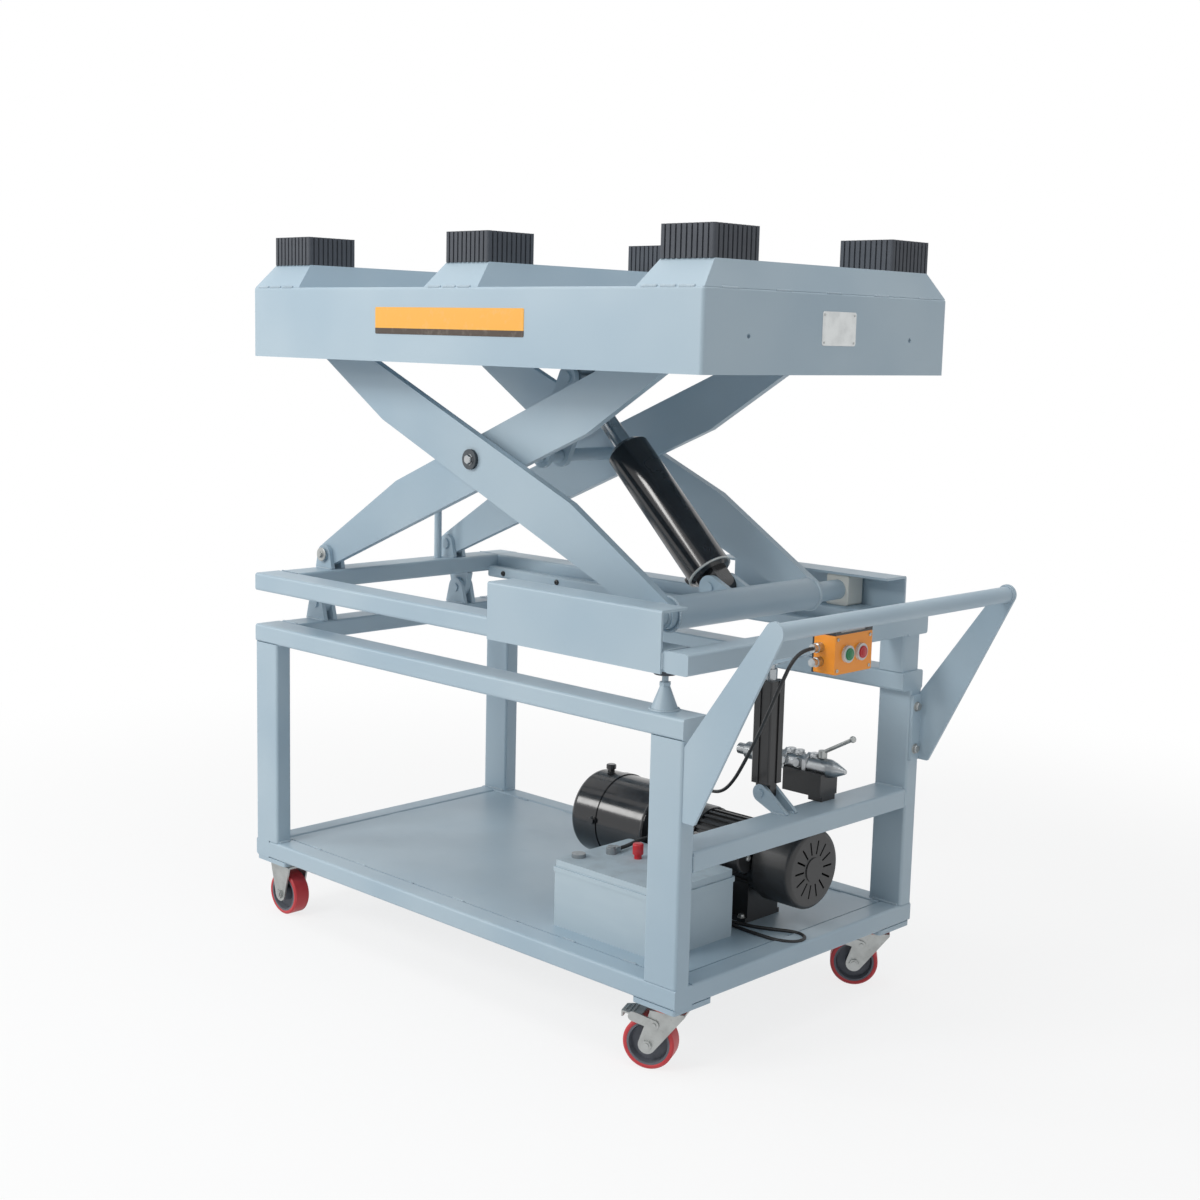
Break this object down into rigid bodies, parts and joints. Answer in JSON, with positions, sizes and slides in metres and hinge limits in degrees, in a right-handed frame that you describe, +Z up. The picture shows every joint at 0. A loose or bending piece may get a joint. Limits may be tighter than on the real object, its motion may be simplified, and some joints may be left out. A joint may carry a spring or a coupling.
{
  "type": "electric lift table",
  "caption": "Mobile electro-hydraulic scissor lift table: wheeled trolley with power pack and push bar, a tilting ring, and a skirted platform with rubber pads.",
  "frame": {"origin": "bottom centre of the bounding box, on the floor", "axes": "+X towards the push bar, +Y away from the battery's side, +Z up"},
  "size_m": [1.514, 0.7611, 1.546],
  "materials": {
    "blue_grey_paint": "satin paint",
    "black_paint": "gloss paint",
    "zinc_steel": "zinc plated",
    "machined_steel": "ground",
    "cast_aluminium": "as cast",
    "black_plastic": "moulded",
    "battery_plastic": "moulded",
    "orange_plastic": "moulded",
    "green_plastic": "moulded",
    "red_plastic": "moulded",
    "white_plastic": "moulded",
    "nylon": "machined",
    "black_rubber": "moulded",
    "red_polyurethane": "moulded",
    "core_plastic": "moulded",
    "cable_sheath": "extruded"
  },
  "bodies": {
    "trolley": {"lower_ring": "blue_grey_paint", "deck_plate": "blue_grey_paint", "corner_posts": "blue_grey_paint", "upper_rails": "blue_grey_paint", "mid_rail": "blue_grey_paint", "handle_arms": "blue_grey_paint", "handle_bar": "blue_grey_paint", "control_hanger": "black_paint", "control_box": "orange_plastic", "control_cover": "orange_plastic", "control_fittings": "white_plastic", "oil_tank": "black_paint", "tank_fittings": "zinc_steel", "pump_block": "cast_aluminium", "motor_body": "black_paint", "fan_cover": "black_paint", "motor_capacitor": "black_plastic", "valve_block": "black_paint", "valve_cartridges": "machined_steel", "battery_case": "battery_plastic", "battery_lid": "battery_plastic", "battery_terminals": "red_plastic", "rest_stops": "blue_grey_paint", "rest_pad": "black_rubber", "rear_hinges": "blue_grey_paint", "rear_forks": "zinc_steel", "control_cable": "cable_sheath", "spare_cable": "cable_sheath", "battery_lead": "cable_sheath"},
    "tilt_frame": {"tilt_ring": "blue_grey_paint", "slide_channels": "blue_grey_paint", "tilt_lugs": "blue_grey_paint"},
    "inner_arm_frame": {"inner_arms": "blue_grey_paint"},
    "outer_arm_frame": {"outer_arms": "blue_grey_paint", "centre_bolts": "machined_steel"},
    "lower_slide_blocks": {"lower_slides": "nylon"},
    "upper_slide_blocks": {"upper_slides": "nylon"},
    "platform": {"platform_shell": "blue_grey_paint", "platform_ridges": "blue_grey_paint", "platform_pads": "black_rubber", "platform_tracks": "blue_grey_paint"},
    "lift_barrel": {"cylinder_barrel": "black_paint"},
    "lift_rod": {"cylinder_rod": "machined_steel"},
    "tilt_column": {"actuator_column": "black_paint"},
    "tilt_rod": {"actuator_rod": "machined_steel"},
    "green_push": {"green_button": "green_plastic"},
    "red_push": {"red_button": "red_plastic"},
    "valve_handle": {"valve_lever": "zinc_steel"},
    "handle_left_swivel": {"handle_left_fork": "zinc_steel"},
    "handle_left_brake": {"handle_left_pedal": "zinc_steel"},
    "handle_right_swivel": {"handle_right_fork": "zinc_steel"},
    "handle_right_brake": {"handle_right_pedal": "zinc_steel"},
    "handle_left_wheel": {"handle_left_core": "core_plastic", "handle_left_tread": "red_polyurethane"},
    "handle_right_wheel": {"handle_right_core": "core_plastic", "handle_right_tread": "red_polyurethane"},
    "rear_left_wheel": {"rear_left_core": "core_plastic", "rear_left_tread": "red_polyurethane"},
    "rear_right_wheel": {"rear_right_core": "core_plastic", "rear_right_tread": "red_polyurethane"}
  },
  "joints": [
    {"name": "tilt", "type": "hinge", "parent": "trolley", "child": "tilt_frame", "pos_m": [-0.718, 0, 0.7205], "axis": [0, -1, 0], "range_deg": [0, 8]},
    {"name": "lift", "type": "hinge", "parent": "tilt_frame", "child": "inner_arm_frame", "pos_m": [-0.722, 0, 0.832], "axis": [0, -1, 0], "range_deg": [-15.3, 7.6]},
    {"name": "arm_centre", "type": "hinge", "parent": "inner_arm_frame", "child": "outer_arm_frame", "pos_m": [-0.18, 0, 1.08901], "axis": [0, -1, 0], "range_deg": [-15.3, 30.7]},
    {"name": "platform_level", "type": "hinge", "parent": "outer_arm_frame", "child": "platform", "pos_m": [-0.722, 0, 1.34603], "axis": [0, -1, 0], "range_deg": [-15.3, 7.6]},
    {"name": "lower_blocks_level", "type": "hinge", "parent": "outer_arm_frame", "child": "lower_slide_blocks", "pos_m": [0.362, 0, 0.832], "axis": [0, -1, 0], "range_deg": [-15.3, 7.6]},
    {"name": "upper_blocks_level", "type": "hinge", "parent": "inner_arm_frame", "child": "upper_slide_blocks", "pos_m": [0.362, 0, 1.34603], "axis": [0, -1, 0], "range_deg": [-7.65, 15.35]},
    {"name": "barrel_swing", "type": "hinge", "parent": "outer_arm_frame", "child": "lift_barrel", "pos_m": [0.30508, 0, 0.85899], "axis": [0, -1, 0], "range_deg": [-2.6, 1.4]},
    {"name": "rod_slide", "type": "slide", "parent": "lift_barrel", "child": "lift_rod", "axis": [-0.7159, 0, 0.6982], "range_m": [-0.0965, 0.049]},
    {"name": "column_swing", "type": "hinge", "parent": "trolley", "child": "tilt_column", "pos_m": [0.442, 0, 0.465], "axis": [0, -1, 0], "range_deg": [0, 1.7]},
    {"name": "column_slide", "type": "slide", "parent": "tilt_column", "child": "tilt_rod", "axis": [0, 0, 1], "range_m": [0, 0.165]},
    {"name": "green_press", "type": "slide", "parent": "trolley", "child": "green_push", "axis": [-1, 0, 0], "range_m": [0, 0.003], "stiffness_N_per_m": 400, "springref_m": -0.0005},
    {"name": "red_press", "type": "slide", "parent": "trolley", "child": "red_push", "axis": [-1, 0, 0], "range_m": [0, 0.003], "stiffness_N_per_m": 400, "springref_m": -0.0005},
    {"name": "valve_turn", "type": "hinge", "parent": "trolley", "child": "valve_handle", "pos_m": [0.474, 0.14, 0.523], "axis": [0, 0, 1], "range_deg": [-90, 0]},
    {"name": "handle_left_swivel_turn", "type": "hinge", "parent": "trolley", "child": "handle_left_swivel", "pos_m": [0.493, -0.321, 0.13], "axis": [0, 0, 1], "continuous": true},
    {"name": "handle_left_wheel_spin", "type": "hinge", "parent": "handle_left_swivel", "child": "handle_left_wheel", "pos_m": [0.45856, -0.33706, 0.05], "axis": [-0.4226, 0.9063, 0], "continuous": true},
    {"name": "handle_left_brake_press", "type": "hinge", "parent": "handle_left_swivel", "child": "handle_left_brake", "pos_m": [0.47125, -0.33114, 0.092], "axis": [0.4226, -0.9063, 0], "range_deg": [0, 8]},
    {"name": "handle_right_swivel_turn", "type": "hinge", "parent": "trolley", "child": "handle_right_swivel", "pos_m": [0.493, 0.321, 0.13], "axis": [0, 0, 1], "continuous": true},
    {"name": "handle_right_wheel_spin", "type": "hinge", "parent": "handle_right_swivel", "child": "handle_right_wheel", "pos_m": [0.46226, 0.29866, 0.05], "axis": [-0.5878, 0.809, 0], "continuous": true},
    {"name": "handle_right_brake_press", "type": "hinge", "parent": "handle_right_swivel", "child": "handle_right_brake", "pos_m": [0.47358, 0.30689, 0.092], "axis": [0.5878, -0.809, 0], "range_deg": [0, 8]},
    {"name": "rear_left_wheel_spin", "type": "hinge", "parent": "trolley", "child": "rear_left_wheel", "pos_m": [-0.699, -0.321, 0.05], "axis": [0, 1, 0], "continuous": true},
    {"name": "rear_right_wheel_spin", "type": "hinge", "parent": "trolley", "child": "rear_right_wheel", "pos_m": [-0.699, 0.321, 0.05], "axis": [0, 1, 0], "continuous": true}
  ],
  "couplings": [
    {"joint": "arm_centre", "follows": "lift", "ratio": -2},
    {"joint": "platform_level", "follows": "lift", "ratio": 1},
    {"joint": "lower_blocks_level", "follows": "lift", "ratio": 1},
    {"joint": "upper_blocks_level", "follows": "lift", "ratio": -1},
    {"joint": "barrel_swing", "follows": "lift", "ratio": 0.16},
    {"joint": "rod_slide", "follows": "lift", "m_per_rad": 0.354},
    {"joint": "column_swing", "follows": "tilt", "ratio": 0.205},
    {"joint": "column_slide", "follows": "tilt", "m_per_rad": 1.157}
  ]
}
